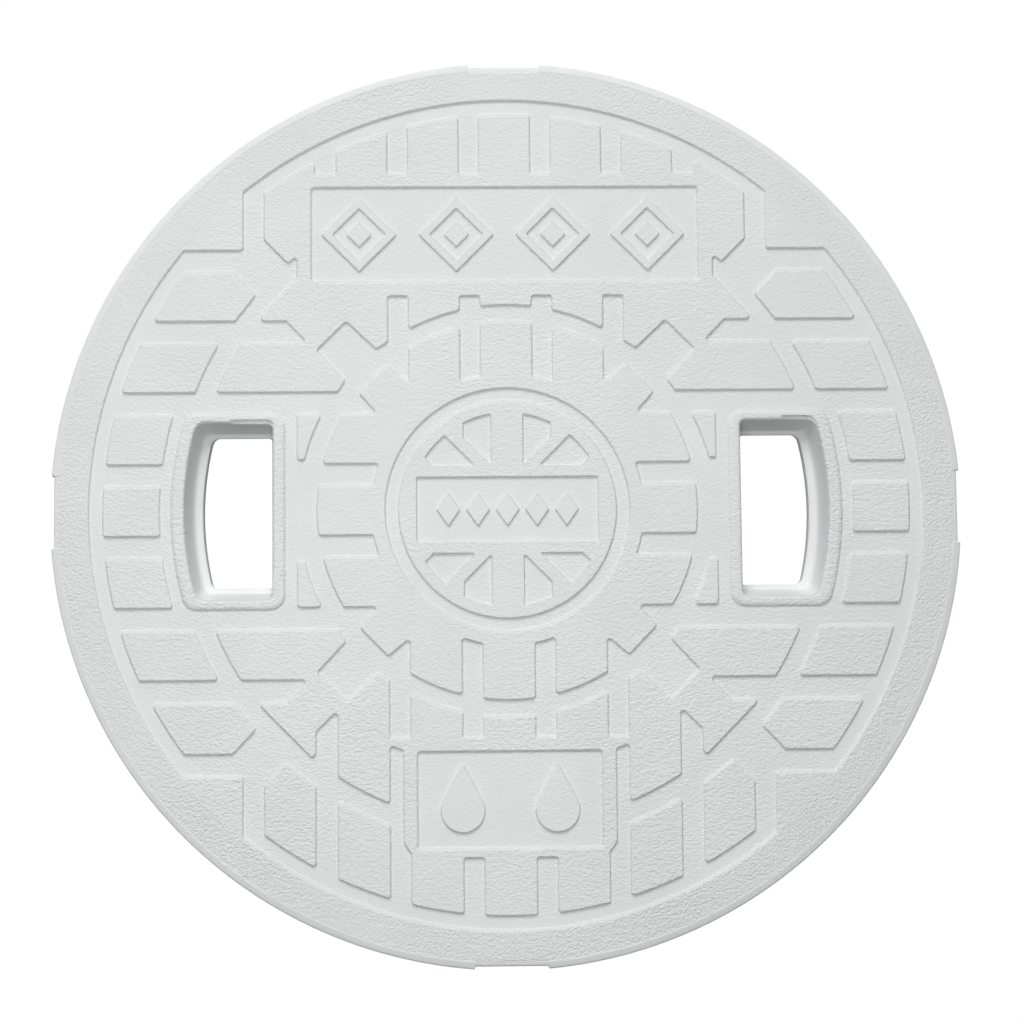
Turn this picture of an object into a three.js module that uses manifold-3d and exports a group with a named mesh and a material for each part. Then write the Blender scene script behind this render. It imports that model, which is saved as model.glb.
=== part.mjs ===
// Round polypropylene pit cover: a treaded lid with two hand slots, laid on a
// frame whose spigot drops into the bore of a pit. Millimetres, +Z up, origin
// on the axis at the underside of the frame's spigot. +Y is the side of the
// wide plate, +X the right-hand slot. In plan, upper is +Y and left is -X.
import * as THREE from 'three';
import { mergeVertices } from 'three/addons/utils/BufferGeometryUtils.js';
import { ConvexGeometry } from 'three/addons/geometries/ConvexGeometry.js';
import Module from 'manifold-3d';

const wasm = await Module();
wasm.setup();
const { Manifold } = wasm;
const { degToRad, radToDeg } = THREE.MathUtils;

// ---------------------------------------------------------------- dimensions
const OVERLAP = 1;          // how far parts run into each other and cuts run past a face
const RIB_T = 2.6;          // thickness of the ribs of lid and frame

// lid, heights and section
const LID_R = 200;
const Z_TOP = 56;           // tread level
const RELIEF = 1.2;         // depth of the grooves
const Z_FIELD = Z_TOP - RELIEF;
const Z_UNDER = 50;         // underside of the lid's plate
const SKIRT_Z = 26;         // lower edge of the lid's skirt
const SKIRT_IN_R = 195;
const SEAT_Z = 41.8;        // land above the cushions
const SEAT_OUT_R = 185;
const GUIDE_R = 176.3;      // guide ring that drops inside the upstand
const GUIDE_IN_R = 172.8;
const GUIDE_Z = 32.5;
const RIB_Z = 40;           // lower edge of the lid's ribs
const SKIRT_RIB_Z = 43;     // lower edge of the ribs between seat and skirt
const SKIRT_RIBS = 24;
const HOOP_RADII = [27, 72, 148.5]; // inner radii of the round ribs
const RIB_GAP = [101, 143]; // radii between which a slot interrupts a rib
const FLAT_D = 198.2;       // distance of the four rim flats from the axis
const FLAT_W = 32;

// lid, radii of the tread pattern
const R_RIM = 183.1;        // inner edge of the rim band
const R_PAD = 176.6;        // outer ends of the tread blocks
const R_PAD_SIDE = R_PAD + 0.4; // the same for the blocks at the left and right
const R_OUT = 146.4;        // inner ends of the outer blocks
const R_OUT_LOW = R_OUT + 0.5; // the same for the blocks beside the small plate
const R_SIDE = 152.3;       // inner ends of the blocks beside the slots
const R_RING = 138.1;       // outer ends of the second ring
const R_WEB = 90.9;         // inner edge of the second ring
const R_WEDGE = 91.7;       // curved edge of the wedges inside the slots
const R_TOOTH = 83.5;       // tips of the sun pattern
const R_ROOT = 59.9;        // roots of the sun pattern
const R_MOAT = 53.7;        // ring groove round the boss
const R_BOSS = 47.9;
const R_WHEEL = 42.8;       // outer edge of the recesses in the boss
const DISC_SEGMENTS = 60;

// sunken rectangles, centred in X
const WIDE_PLATE = { halfX: 85.7, y0: 101.5, y1: 143.8, corner: 1.6 };
const SMALL_PLATE = { halfX: 40.2, y0: -147.7, y1: -105.7, corner: 1.6 };
const BOSS_PANEL = { halfX: 39.9, y0: -14.3, y1: 14.3, corner: 0.8 };

// D outlines of the right-hand slot: straight inner edge at innerX, outer edge
// an arc of radius outerR about the lid's axis
const MOUTH = { innerX: 102.9, outerR: 141.9, halfY: 38.9, corner: 5 };
const THROAT = { innerX: 103.7, outerR: 134.1, halfY: 33.3, corner: 4 };
const LEDGE = {
  innerX: THROAT.innerX - 0.2, outerR: MOUTH.outerR - 3.6, halfY: MOUTH.halfY - 3.4, corner: 5,
};
const COLLAR = { innerX: 97.6, outerR: 147.3, halfY: 43.3, corner: 6.5 };
const WELL = { innerX: 99.6, outerR: 144.9, halfY: 42.2, corner: 5 };
const LEDGE_Z = Z_TOP - 11.5;
const WELL_Z = Z_TOP - 16;
const FLARE_X = 120;        // centre and scale of the mouth's flare above the tread
const FLARE = 1.012;

// frame
const SPIGOT_IN_R = 166;
const SPIGOT_OUT_R = 171;
const FLANGE_Z = 20;
const FLANGE_T = 5;
const FLANGE_TOP = FLANGE_Z + FLANGE_T;
const FRAME_R = 198;
const UPSTAND_IN_R = 177;
const UPSTAND_OUT_R = 184;
const UPSTAND_MID_R = (UPSTAND_IN_R + UPSTAND_OUT_R) / 2;
const UPSTAND_Z = 40;
const FRAME_RIBS = 24;
const FRAME_RIB_R = 168;    // inner ends of the frame's ribs
const FRAME_RIB_H = 6.5;    // height above the flange
const CUSHIONS = 8;
const CUSHION_T = 4;        // radial width
const CUSHION_H = 4.2;
const CUSHION_DEG = 9;
const CUSHION_GAP = 0.3;    // to the sides and floor of the pocket
const POCKET_DEG = CUSHION_DEG + 0.25;
const POCKET_D = 3;
const SCREWS = 4;
const SCREW_R = 189.4;
const SCREW_HOLE_R = 2.8;

// ---------------------------------------------------------------- 2-D helpers
const polar = (r, deg) => [r * Math.cos(degToRad(deg)), r * Math.sin(degToRad(deg))];
// the other coordinate of a point of the circle of radius r
const onCircle = (r, coord) => Math.sqrt(r * r - coord * coord);

// arc in n steps about (cx, cy)
function arcAt(cx, cy, r, deg0, deg1, n) {
  return Array.from({ length: n + 1 }, (_, i) => {
    const [x, y] = polar(r, deg0 + ((deg1 - deg0) * i) / n);
    return [cx + x, cy + y];
  });
}
const disc = (r) => arcAt(0, 0, r, 0, 360, DISC_SEGMENTS).slice(0, -1);

// arc about the axis, in steps of at most 6 degrees
const axisArc = (r, deg0, deg1) =>
  arcAt(0, 0, r, deg0, deg1, Math.max(1, Math.ceil(Math.abs(deg1 - deg0) / 6)));

// arc about the axis from the bearing of one point to that of another, the short way
function arc(r, from, to) {
  const deg0 = radToDeg(Math.atan2(from[1], from[0]));
  let deg1 = radToDeg(Math.atan2(to[1], to[0]));
  if (deg1 - deg0 > 180) deg1 -= 360;
  if (deg0 - deg1 > 180) deg1 += 360;
  return axisArc(r, deg0, deg1);
}
// arcs given by the X (or Y) of their ends
const topArc = (r, x0, x1) => arc(r, [x0, onCircle(r, x0)], [x1, onCircle(r, x1)]);
const bottomArc = (r, x0, x1) => arc(r, [x0, -onCircle(r, x0)], [x1, -onCircle(r, x1)]);
const leftArc = (r, y0, y1) => arc(r, [-onCircle(r, y0), y0], [-onCircle(r, y1), y1]);

const flipX = (points) => points.map(([x, y]) => [-x, y]).reverse();
const flipY = (points) => points.map(([x, y]) => [x, -y]).reverse();
const pair = (points) => [points, flipX(points)];
const quarters = (points) => [...pair(points), ...pair(flipY(points))];

// drops points that repeat their neighbour
function tidy(points) {
  const near = (p, q) => Math.hypot(p[0] - q[0], p[1] - q[1]) <= 0.02;
  const out = [];
  for (const point of points) {
    if (!out.length || !near(point, out[out.length - 1])) out.push(point);
  }
  if (near(out[0], out[out.length - 1])) out.pop();
  return out;
}

function roundedBox({ halfX, y0, y1, corner }) {
  const x = halfX - corner;
  const centres = [[x, y1 - corner], [-x, y1 - corner], [-x, y0 + corner], [x, y0 + corner]];
  return centres.flatMap(([cx, cy], i) => arcAt(cx, cy, corner, 90 * i, 90 * i + 90, 2));
}

// D outline of a slot on the +X side
function dOutline({ innerX, outerR, halfY, corner }) {
  const y = halfY - corner;
  const xIn = innerX + corner;
  const xOut = onCircle(outerR - corner, y);
  const tilt = radToDeg(Math.atan2(y, xOut));
  return tidy([
    ...arcAt(xIn, -y, corner, 180, 270, 3),
    ...arcAt(xOut, -y, corner, 270, 360 - tilt, 3),
    ...axisArc(outerR, -tilt, tilt),
    ...arcAt(xOut, y, corner, tilt, 90, 3),
    ...arcAt(xIn, y, corner, 90, 180, 3),
  ]);
}

const lozenge = (cx, cy, a, b) => [[cx + a, cy], [cx, cy + b], [cx - a, cy], [cx, cy - b]];

// round foot of radius r, with its point at height h above the foot's centre
function drop(cx, cy, r, h) {
  const tangent = radToDeg(Math.acos(r / h));
  return [[cx, cy + h], ...arcAt(cx, cy, r, 90 + tangent, 450 - tangent, 12)];
}

// curved block in plan, centred on +X
const sector = (r0, r1, deg) => [
  ...arcAt(0, 0, r1, -deg / 2, deg / 2, 3),
  ...arcAt(0, 0, r0, deg / 2, -deg / 2, 3),
];

// ------------------------------------------------------------------- solids
// welds a geometry, drops empty triangles and turns the faces outward
function solid(geometry) {
  geometry.deleteAttribute('normal');
  geometry.deleteAttribute('uv');
  const welded = mergeVertices(geometry, 1e-4);
  const positions = welded.attributes.position.array;
  const index = welded.index.array;
  const tri = [];
  for (let i = 0; i < index.length; i += 3) {
    const [a, b, c] = index.slice(i, i + 3);
    if (a !== b && b !== c && c !== a) tri.push(a, b, c);
  }
  const vertex = (i) => new THREE.Vector3().fromArray(positions, 3 * tri[i]);
  let volume = 0;
  for (let i = 0; i < tri.length; i += 3) {
    volume += vertex(i).dot(vertex(i + 1).cross(vertex(i + 2)));
  }
  if (volume < 0) tri.reverse();
  return new Manifold(new wasm.Mesh({
    numProp: 3,
    vertProperties: Float32Array.from(positions),
    triVerts: Uint32Array.from(tri),
  }));
}

function geometryOf(manifold) {
  const { vertProperties, triVerts } = manifold.getMesh();
  const geometry = new THREE.BufferGeometry();
  geometry.setAttribute('position', new THREE.BufferAttribute(Float32Array.from(vertProperties), 3));
  geometry.setIndex(new THREE.BufferAttribute(Uint32Array.from(triVerts), 1));
  return geometry;
}

const vectors = (points) => points.map(([x, y]) => new THREE.Vector2(x, y));

function prism(points, z0, z1, hole) {
  const shape = new THREE.Shape(vectors(tidy(points)));
  if (hole) shape.holes.push(new THREE.Path(vectors(hole)));
  const options = { depth: z1 - z0, bevelEnabled: false, steps: 1 };
  return solid(new THREE.ExtrudeGeometry(shape, options).translate(0, 0, z0));
}

// revolves a (radius, height) profile about Z; one that starts off the axis is closed
function revolve(profile, segments) {
  const closed = profile[0][0] > 0 ? [...profile, profile[0]] : profile;
  return solid(new THREE.LatheGeometry(vectors(closed), segments).rotateX(Math.PI / 2));
}

// upright bar along the radius at deg, from r0 to r1
function radialBar(deg, r0, r1, z0, z1, width = RIB_T) {
  const box = new THREE.BoxGeometry(r1 - r0, width, z1 - z0);
  box.translate((r0 + r1) / 2, 0, (z0 + z1) / 2);
  return solid(box.rotateZ(degToRad(deg)));
}

// convex loft between two outlines at two heights
const loft = (lower, z0, upper, z1) => solid(new ConvexGeometry([
  ...lower.map(([x, y]) => new THREE.Vector3(x, y, z0)),
  ...upper.map(([x, y]) => new THREE.Vector3(x, y, z1)),
]));

const raise = (points, hole) => prism(points, Z_FIELD - OVERLAP, Z_TOP, hole);
const lower = (points) => prism(points, Z_FIELD, Z_TOP + OVERLAP);

// --------------------------------------------------------- tread block layout
// The blocks lie on a square grid of 31.5 mm. These are the distances from the
// axis of the near and far edges of its grooves, in X and in Y.
const [nearX1, farX1, nearX2, farX2] = [11.4, 20.4, 43.0, 52.1];
const [nearX3, farX3, nearX4, farX4] = [74.6, 84.2, 106.5, 115.8];
const [nearY1, farY1, nearY2, farY2] = [10.9, 20.6, 42.4, 52.4];
const [nearY3, farY3, nearY4] = [74.0, 84.1, 106.0];

// outlines are (x, y) points of the left half or quarter
const upperWeb = [
  ...topArc(R_PAD, 0, -nearX1), [-nearX1, 149.7], [-farX1, 149.7],
  ...topArc(R_PAD, -farX1, -nearX2), [-nearX2, 149.7], [-farX2, 149.7],
  ...topArc(R_PAD, -farX2, -nearX3), [-nearX3, 149.7], [-farX3, 149.7],
  ...topArc(R_PAD, -farX3, -nearX4),
  [-nearX4, 120.4], [-96, 109.8], [-92, 113.3], [-92, 103.3], [-108.2, 85.4],
  [-107.2, farY3], [-96.9, farY3], [-87.2, nearY3],
  ...leftArc(R_RING, nearY3, farY2),
  [-74.2, farY2], [-71, 57.4], [-83.6, 70.9], [-70.5, 83.8], [-57.3, 71.4],
  [-farX2, 74.6], [-farX2, 95], [-nearX2, 95],
  ...topArc(R_WEB, -nearX2, -farX1), [-farX1, 95], [-nearX1, 95],
  ...topArc(R_WEB, -nearX1, 0),
];
const lowerWeb = [
  ...bottomArc(R_WEB, 0, -nearX1), [-nearX1, -99.8], [-farX1, -99.8],
  ...bottomArc(R_WEB, -farX1, -nearX2), [-nearX2, -99.8], [-farX2, -99.8],
  [-farX2, -74.6], [-57.3, -71.4], [-70.5, -83.8], [-83.6, -70.9], [-71, -57.4],
  [-74.2, -farY2],
  ...leftArc(R_RING, -farY2, -nearY3),
  [-87.2, -nearY3], [-96.9, -farY3], [-107.2, -farY3], [-108.2, -85.4],
  [-85.9, -107.9], [-farX3, -106.2], [-farX3, -96.7], [-nearX3, -87.2],
  ...bottomArc(R_RING, -nearX3, -farX2),
  [-farX2, -102.9], [-46.3, -105], [-46.3, -145], [-nearX2, -149.7],
  ...bottomArc(R_PAD, -nearX2, -farX1), [-farX1, -151.6], [-nearX1, -151.6],
  ...bottomArc(R_PAD, -nearX1, 0),
];
const cornerBlock = [
  [-120.3, nearY4], [-110.3, 95.6], [-119.3, farY3], ...leftArc(R_PAD, farY3, nearY4),
];
const outerBlock = [
  ...leftArc(R_OUT, nearY3, farY2), ...leftArc(R_PAD_SIDE, farY2, nearY3),
];
const sideBlock = [
  ...leftArc(R_SIDE, nearY2, farY1), ...leftArc(R_PAD_SIDE, farY1, nearY2),
];
const middleBlock = [
  ...leftArc(R_SIDE, nearY1, -nearY1), ...leftArc(R_PAD_SIDE, -nearY1, nearY1),
];
const wedge = [[-92.1, nearY2], [-92.1, 22.4], ...leftArc(R_WEDGE, 22.4, nearY2)];
const lowCornerBlock = [
  [-nearX4, -120], ...bottomArc(R_OUT_LOW, -97.2, -farX3), ...bottomArc(R_PAD, -farX3, -nearX4),
];
const lowOuterBlock = [
  ...bottomArc(R_OUT_LOW, -nearX3, -farX2), ...bottomArc(R_PAD, -farX2, -nearX3),
];
const rimCorner = [[-farX4, farX4], [-farX4, 146], [-146, farX4]];
// sun pattern, sixteen rays on a ring: this quarter runs from +Y round to -X
const sunQuarter = [
  ...topArc(R_TOOTH, 0, -nearX1),
  ...topArc(R_ROOT, -nearX1, -farX1),
  ...topArc(R_TOOTH, -farX1, -nearX2),
  [-nearX2, 56], [-52.6, 64.1], [-64.9, 51.6], [-56.6, nearY2],
  ...leftArc(R_TOOTH, nearY2, farY1),
  ...leftArc(R_ROOT, farY1, nearY1),
  ...leftArc(R_TOOTH, nearY1, 0),
];
const sun = [
  ...sunQuarter, ...flipY(sunQuarter), ...flipX(flipY(sunQuarter)), ...flipX(sunQuarter),
];
// recesses in the boss: beside the vertical spoke, and further out
const spokeRecess = [[-7.1, 19.7], ...topArc(R_WHEEL, -7.1, -19.2), [-19.2, 31.8]];
const outerRecess = [
  [-14.1, 19.3], ...arc(R_WHEEL, [-27.55, 32.75], [-36.2, 22.85]), [-32.6, 19.3],
];

// ------------------------------------------------------------------------ lid
const buildLidPlate = () => revolve([
  [0, Z_FIELD], [R_RIM, Z_FIELD], [R_RIM, Z_TOP],
  [197.2, Z_TOP], [199.6, Z_TOP - 0.5], [LID_R, Z_TOP - 1.2],
  [LID_R, 40], [199.3, SKIRT_Z], [SKIRT_IN_R + 0.4, SKIRT_Z], [SKIRT_IN_R, Z_UNDER],
  [SEAT_OUT_R, Z_UNDER], [SEAT_OUT_R, SEAT_Z], [GUIDE_R, SEAT_Z],
  [GUIDE_R, GUIDE_Z + 1.2], [GUIDE_R - 1, GUIDE_Z], [GUIDE_IN_R, GUIDE_Z],
  [GUIDE_IN_R, Z_UNDER], [0, Z_UNDER],
], 120);

const buildTread = () => [
  [...upperWeb, ...flipX(upperWeb)],
  [...lowerWeb, ...flipX(lowerWeb)],
  ...[cornerBlock, outerBlock, sideBlock, wedge, rimCorner].flatMap(quarters),
  ...[middleBlock, lowCornerBlock, lowOuterBlock, dOutline(COLLAR)].flatMap(pair),
  sun,
].map((points) => raise(points));

const buildSunkenFields = () =>
  [roundedBox(WIDE_PLATE), roundedBox(SMALL_PLATE), disc(R_MOAT)].map(lower);

const buildBossRecesses = () =>
  [...quarters(spokeRecess), ...quarters(outerRecess), roundedBox(BOSS_PANEL)].map(lower);

// lozenges on the wide plate and the boss, drops on the small plate
function buildFigures() {
  const y = 122.6;
  const size = 16.6;
  const inner = size - 3.4 * Math.SQRT2;   // leaves a band 3.4 wide
  return [
    ...[-64.6, -21.6, 21.2, 63.2].flatMap((x) => [
      raise(lozenge(x, y, size, size), lozenge(x, y, inner, inner).reverse()),
      raise(lozenge(x, y, 5.6, 5.6)),
    ]),
    ...[-20.6, 20.6].map((x) => raise(drop(x, -131.2, 9.6, 20.5))),
    ...[-2, -1, 0, 1, 2].map((i) => raise(lozenge(13 * i, 0, 5.2, 7.4))),
  ];
}

// wells round the slots, radial ribs and round ribs
function buildUnderside() {
  const top = Z_UNDER + OVERLAP;
  const parts = pair(dOutline(WELL)).map((points) => prism(points, WELL_Z, top));
  const inner = HOOP_RADII[0] + OVERLAP;
  const outer = GUIDE_IN_R + OVERLAP;
  for (let deg = 0; deg < 360; deg += 30) {
    const spans = deg % 180 ? [[inner, outer]] : [[inner, RIB_GAP[0]], [RIB_GAP[1], outer]];
    for (const [r0, r1] of spans) parts.push(radialBar(deg, r0, r1, RIB_Z, top));
  }
  for (let i = 0; i < SKIRT_RIBS; i++) {
    const deg = (360 / SKIRT_RIBS) * (i + 0.5);
    parts.push(radialBar(deg, SEAT_OUT_R - OVERLAP, SKIRT_IN_R + OVERLAP, SKIRT_RIB_Z, top));
  }
  for (const r of HOOP_RADII) {
    parts.push(revolve([[r, RIB_Z], [r + RIB_T, RIB_Z], [r + RIB_T, top], [r, top]], 48));
  }
  return parts;
}

// each slot tapers from its mouth to a ledge, then drops through a smaller throat
function buildSlotCuts() {
  const flared = dOutline(MOUTH).map(([x, y]) => [FLARE_X + (x - FLARE_X) * FLARE, y * FLARE]);
  const ledges = pair(dOutline(LEDGE));
  const mouths = pair(flared);
  const throats = pair(dOutline(THROAT));
  return [0, 1].flatMap((i) => [
    loft(ledges[i], LEDGE_Z, mouths[i], Z_TOP + OVERLAP),
    prism(throats[i], WELL_Z - OVERLAP, LEDGE_Z + OVERLAP),
  ]);
}

const buildFlatCuts = () =>
  [0, 90, 180, 270].map((deg) => radialBar(deg, FLAT_D, FLAT_D + 10, 10, 70, FLAT_W));

function buildLid() {
  const body = Manifold.union([buildLidPlate(), ...buildTread()])
    .subtract(Manifold.union(buildSunkenFields()))
    .add(raise(disc(R_BOSS)))
    .subtract(Manifold.union(buildBossRecesses()));
  return Manifold.union([body, ...buildFigures(), ...buildUnderside()])
    .subtract(Manifold.union([...buildSlotCuts(), ...buildFlatCuts()]));
}

// ---------------------------------------------------------------------- frame
const cushionAngle = (i) => (360 / CUSHIONS) * (i + 0.5);
const screwAngle = (i) => (360 / SCREWS) * (i + 0.5);

function buildPocketCut(i) {
  const half = CUSHION_T / 2 + CUSHION_GAP;
  const plan = sector(UPSTAND_MID_R - half, UPSTAND_MID_R + half, POCKET_DEG);
  return prism(plan, UPSTAND_Z - POCKET_D, UPSTAND_Z + OVERLAP).rotate([0, 0, cushionAngle(i)]);
}

function buildScrewHole(i) {
  const hole = new THREE.CylinderGeometry(SCREW_HOLE_R, SCREW_HOLE_R, 12, 20);
  hole.rotateX(Math.PI / 2);
  return solid(hole.translate(...polar(SCREW_R, screwAngle(i)), FLANGE_Z + 2));
}

function buildFrame() {
  const parts = [revolve([
    [SPIGOT_IN_R, 0], [SPIGOT_OUT_R - 1.5, 0], [SPIGOT_OUT_R, 3], [SPIGOT_OUT_R, FLANGE_Z],
    [FRAME_R, FLANGE_Z], [FRAME_R, FLANGE_TOP - 1], [FRAME_R - 1, FLANGE_TOP],
    [UPSTAND_OUT_R, FLANGE_TOP], [UPSTAND_OUT_R, UPSTAND_Z],
    [UPSTAND_IN_R, UPSTAND_Z], [UPSTAND_IN_R, FLANGE_TOP], [SPIGOT_IN_R, FLANGE_TOP],
  ], 96)];
  for (let i = 0; i < FRAME_RIBS; i++) {
    parts.push(radialBar((360 / FRAME_RIBS) * i, FRAME_RIB_R, UPSTAND_IN_R + OVERLAP,
      FLANGE_TOP - 0.5, FLANGE_TOP + FRAME_RIB_H));
  }
  const cuts = [];
  for (let i = 0; i < CUSHIONS; i++) cuts.push(buildPocketCut(i));
  for (let i = 0; i < SCREWS; i++) cuts.push(buildScrewHole(i));
  return Manifold.union(parts).subtract(Manifold.union(cuts));
}

// pointed screw with a cross slot in its head
function buildScrew() {
  const z = FLANGE_TOP + 1.6;   // underside of the head
  const body = revolve([
    [0, 4.2], [0.5, 4.2], [2.4, 8.4], [2.4, z], [4.4, z], [4.4, z + 1.7],
    [3.7, z + 2.9], [2.2, z + 3.3], [0, z + 3.3],
  ], 20);
  const slots = [0, 90].map((deg) => radialBar(deg, -2.3, 2.3, z + 2.1, z + 4.1, 1.1));
  return body.subtract(Manifold.union(slots));
}

function buildWasher() {
  const z = FLANGE_TOP + 0.3;
  return revolve([[2.75, z], [5, z], [5, z + 1], [2.75, z + 1]], 24);
}

function buildCushion() {
  const z = UPSTAND_Z - POCKET_D + CUSHION_GAP;
  const half = CUSHION_T / 2;
  const plan = sector(UPSTAND_MID_R - half, UPSTAND_MID_R + half, CUSHION_DEG);
  return prism(plan, z, z + CUSHION_H);
}

// ------------------------------------------------------------------ materials
const material = (options) => new THREE.MeshStandardMaterial(options);
const lidPlastic = material({ color: 0xe3e5e5, roughness: 0.55, metalness: 0 });
const framePlastic = material({ color: 0xb9bdbf, roughness: 0.6, metalness: 0 });
const rubber = material({ color: 0x232425, roughness: 0.9, metalness: 0 });
const stainless = material({ color: 0xc2c4c6, roughness: 0.35, metalness: 1 });

// ---------------------------------------------------------------------- scene
function place(parent, name, manifold, surface, deg = 0, r = 0) {
  const mesh = new THREE.Mesh(geometryOf(manifold), surface);
  mesh.name = name;
  mesh.position.set(...polar(r, deg), 0);
  mesh.rotation.z = degToRad(deg);
  parent.add(mesh);
}

function frameGroup() {
  const group = new THREE.Group();
  place(group, 'frame', buildFrame(), framePlastic);
  for (let i = 0; i < CUSHIONS; i++) {
    place(group, `cushion_${i + 1}`, buildCushion(), rubber, cushionAngle(i));
  }
  for (let i = 0; i < SCREWS; i++) {
    const deg = screwAngle(i);
    place(group, `frame_screw_${i + 1}`, buildScrew(), stainless, deg, SCREW_R);
    place(group, `frame_washer_${i + 1}`, buildWasher(), stainless, deg, SCREW_R);
  }
  return group;
}

function lidGroup() {
  const group = new THREE.Group();
  place(group, 'lid', buildLid(), lidPlastic);
  return group;
}

const cover = new THREE.Group();
cover.add(frameGroup(), lidGroup());

export default cover;
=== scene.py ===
import math

import bpy
import numpy as np
from mathutils import Matrix, Vector
from mathutils.geometry import delaunay_2d_cdt


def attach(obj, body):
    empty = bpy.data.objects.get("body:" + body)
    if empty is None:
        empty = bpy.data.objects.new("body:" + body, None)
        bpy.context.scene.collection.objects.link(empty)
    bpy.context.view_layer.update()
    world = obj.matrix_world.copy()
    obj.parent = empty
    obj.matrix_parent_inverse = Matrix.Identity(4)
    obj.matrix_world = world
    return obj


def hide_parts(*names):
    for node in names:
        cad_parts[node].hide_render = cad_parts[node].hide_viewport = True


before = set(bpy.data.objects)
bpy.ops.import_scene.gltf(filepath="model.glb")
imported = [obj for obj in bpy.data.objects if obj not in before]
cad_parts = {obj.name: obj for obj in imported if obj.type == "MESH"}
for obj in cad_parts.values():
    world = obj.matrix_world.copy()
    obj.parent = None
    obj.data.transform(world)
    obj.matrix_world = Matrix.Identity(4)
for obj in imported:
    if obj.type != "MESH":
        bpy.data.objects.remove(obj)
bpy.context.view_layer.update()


# Outlines and heights are in millimetres; meshes, lights and the camera are in metres.
MM = 0.001

# ------------------------------------------------------------------ dimensions
LID_R = 200.0
FLAT_D, FLAT_W = 198.2, 32.0       # the rim's four flats: distance from the axis, width
RIB_Z = 40.0                       # lower face of the lid's ribs and slot wells
CHANNEL_Z = 43.0                   # roof of the channel inside the skirt
RIB_HALF = 1.3                     # half thickness of the ribs of lid and frame

RIM_R = 183.1                      # inner edge of the raised rim
BLOCK_R = 176.6                    # outer ends of the tread blocks
OUTER_R, SIDE_R = 146.4, 152.3     # inner ends of the outer and the side blocks
RING_R, WEB_R = 138.1, 90.9        # outer and inner arcs of the two webs
TOOTH_R, ROOT_R = 83.5, 59.9       # tips and notches of the sun in the middle
SUN_HOLE_R, BOSS_R, RECESS_R = 53.7, 47.9, 42.8
COLLAR_R = 147.3                   # outer arc of the collars round the slots

# The tread's grooves: inner and outer side of each, across X and across Y.
X_IN1, X_OUT1, X_IN2, X_OUT2 = 11.4, 20.4, 43.0, 52.1
X_IN3, X_OUT3, X_IN4, X_OUT4 = 74.6, 84.2, 106.5, 115.8
Y_IN1, Y_OUT1, Y_IN2, Y_OUT2 = 10.9, 20.6, 42.4, 52.4
Y_IN3, Y_OUT3, Y_IN4 = 74.0, 84.1, 106.0

# Sunken rectangular panels, centred in x: half width, lowest y, highest y.
PANELS = ((85.7, 101.5, 143.8), (40.2, -147.7, -105.7), (39.9, -14.3, 14.3))

SCREW_R = 189.4
SCREW_AT = [math.radians(45 + 90 * k) for k in range(4)]
CUSHION_AT = [math.radians(22.5 + 45 * k) for k in range(8)]


# ------------------------------------------------------------------ 2-D outlines
def leg(radius, x):
    """The second coordinate of a point on a circle whose first coordinate is x."""
    return math.sqrt(radius * radius - x * x)


def at_y(radius, y):
    return leg(radius, y), y


def polar(radius, angle, x=0.0, y=0.0):
    return x + radius * math.cos(angle), y + radius * math.sin(angle)


def arc(radius, start, end, chord=4.0):
    """The shorter arc about the origin, in steps of about one chord."""
    first, last = math.atan2(start[1], start[0]), math.atan2(end[1], end[0])
    if last - first > math.pi:
        last -= 2 * math.pi
    if first - last > math.pi:
        last += 2 * math.pi
    steps = max(1, round(abs(last - first) * radius / chord))
    return [polar(radius, first + (last - first) * i / steps) for i in range(steps + 1)]


# Arcs on the -X half, between two distances from the Y axis or two heights in y.
def top_arc(radius, x_from, x_to):
    return arc(radius, (-x_from, leg(radius, x_from)), (-x_to, leg(radius, x_to)))


def bottom_arc(radius, x_from, x_to):
    return arc(radius, (-x_from, -leg(radius, x_from)), (-x_to, -leg(radius, x_to)))


def side_arc(radius, y_from, y_to):
    return arc(radius, (-leg(radius, y_from), y_from), (-leg(radius, y_to), y_to))


def flip_x(pts):
    return [(-x, y) for x, y in pts][::-1]


def flip_y(pts):
    return [(x, -y) for x, y in pts][::-1]


def both(pts):
    return [pts, flip_x(pts)]


def quarters(pts):
    return both(pts) + both(flip_y(pts))


def turned_by(pts, angle):
    cos, sin = math.cos(angle), math.sin(angle)
    return [(x * cos - y * sin, x * sin + y * cos) for x, y in pts]


def tidy(pts, tolerance=0.02):
    """The outline without vertices that nearly coincide."""
    out = []
    for x, y in pts:
        if not out or math.hypot(x - out[-1][0], y - out[-1][1]) > tolerance:
            out.append((float(x), float(y)))
    if math.hypot(out[0][0] - out[-1][0], out[0][1] - out[-1][1]) < tolerance:
        out.pop()
    return out


def whole(left):
    return tidy(left + flip_x(left))


def ccw(pts):
    here = np.asarray(pts)
    after = np.roll(here, -1, 0)
    area = 0.5 * float(np.sum(here[:, 0] * after[:, 1] - after[:, 0] * here[:, 1]))
    return pts if area > 0 else pts[::-1]


def cw(pts):
    return ccw(pts)[::-1]


def circle(radius, count, x=0.0, y=0.0):
    return [polar(radius, 2 * math.pi * i / count, x, y) for i in range(count)]


def box(half_x, low, high):
    return [(-half_x, low), (half_x, low), (half_x, high), (-half_x, high)]


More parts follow.
